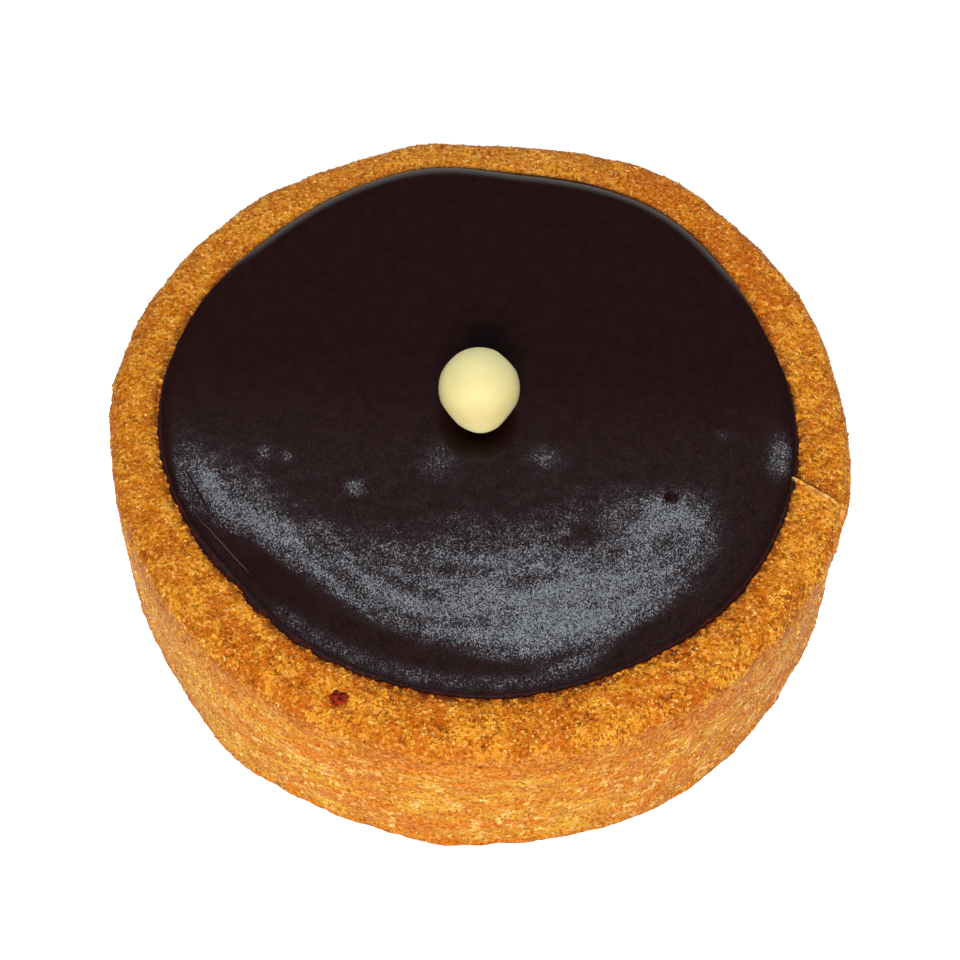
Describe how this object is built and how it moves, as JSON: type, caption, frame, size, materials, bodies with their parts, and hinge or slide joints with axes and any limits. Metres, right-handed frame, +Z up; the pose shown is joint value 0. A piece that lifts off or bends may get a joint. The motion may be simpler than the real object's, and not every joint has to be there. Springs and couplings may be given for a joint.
{
  "type": "chocolate tart",
  "caption": "Round single-portion chocolate tart: a thick straight-sided baked pastry shell, filled flush with dark set ganache, with one pale pearl in the middle.",
  "frame": {"origin": "middle of the flat underside, on the surface that the tart stands on", "axes": "+Z up out of the filling, -Y towards the viewer of the picture, +X to the viewer's right"},
  "size_m": [0.0807, 0.08, 0.0324],
  "materials": {
    "crust": "matte golden-brown baked shortcrust pastry, sandy",
    "ganache": "satin near-black chocolate ganache",
    "pearl": "soft satin cream-yellow chocolate"
  },
  "bodies": {
    "root": {"crust": "crust", "ganache": "ganache", "pearl": "pearl"}
  },
  "joints": []
}
